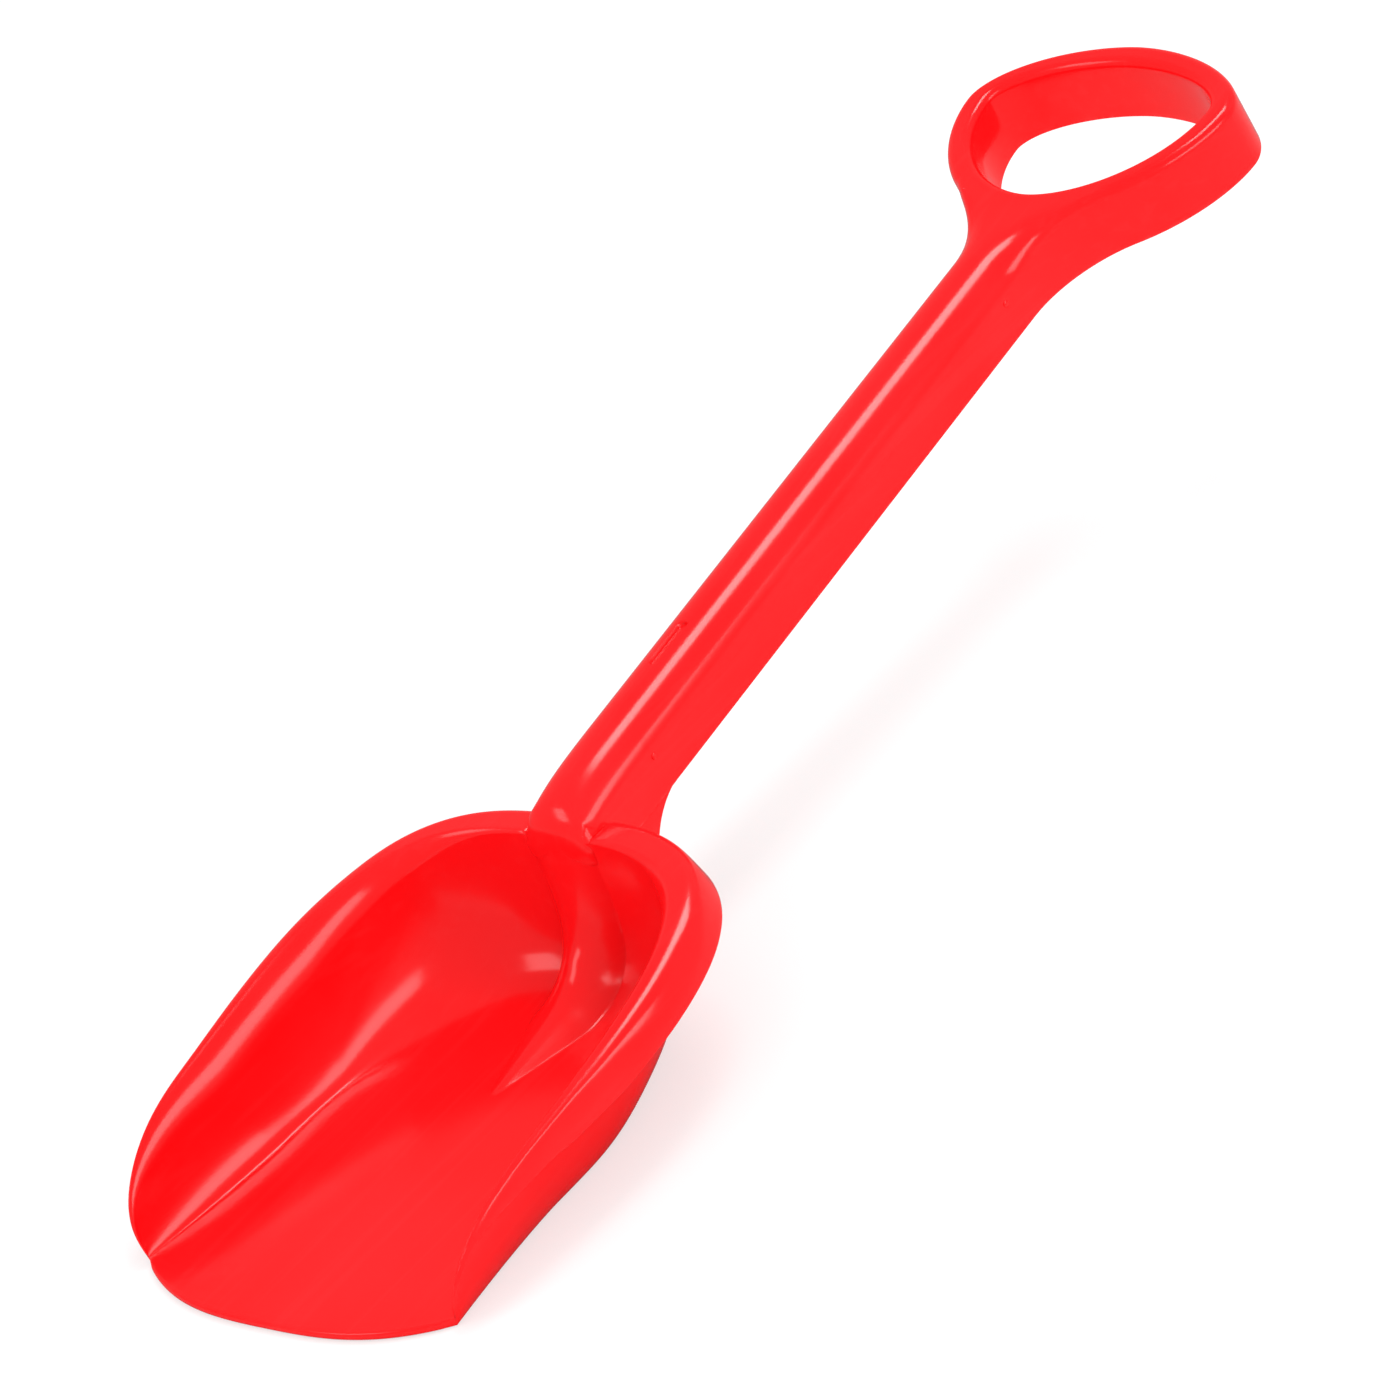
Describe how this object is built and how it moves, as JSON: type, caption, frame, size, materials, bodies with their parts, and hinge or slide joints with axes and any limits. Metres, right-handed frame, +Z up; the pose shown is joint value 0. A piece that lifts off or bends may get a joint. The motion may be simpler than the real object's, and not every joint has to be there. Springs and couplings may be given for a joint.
{
  "type": "sand shovel",
  "caption": "Toy sand shovel with a deep rounded scoop, turned-down rim, ridge up the back wall, hollow channel shaft and egg-shaped ring grip.",
  "frame": {"origin": "on the underside of the scoop's flat floor, on the mirror plane, at the scoop's widest station", "axes": "+X across the blade to its right, +Y from the cutting edge along the shaft to the grip, +Z up out of the scoop"},
  "size_m": [0.1614, 0.5014, 0.111],
  "materials": {
    "moulded_plastic": "gloss"
  },
  "bodies": {
    "root": {"floor": "moulded_plastic", "wall_right": "moulded_plastic", "wall_left": "moulded_plastic", "rim_right": "moulded_plastic", "rim_left": "moulded_plastic", "ridge": "moulded_plastic", "knee": "moulded_plastic", "neck_webs": "moulded_plastic", "shaft": "moulded_plastic", "shaft_ribs": "moulded_plastic", "yoke": "moulded_plastic", "grip": "moulded_plastic"}
  },
  "joints": []
}
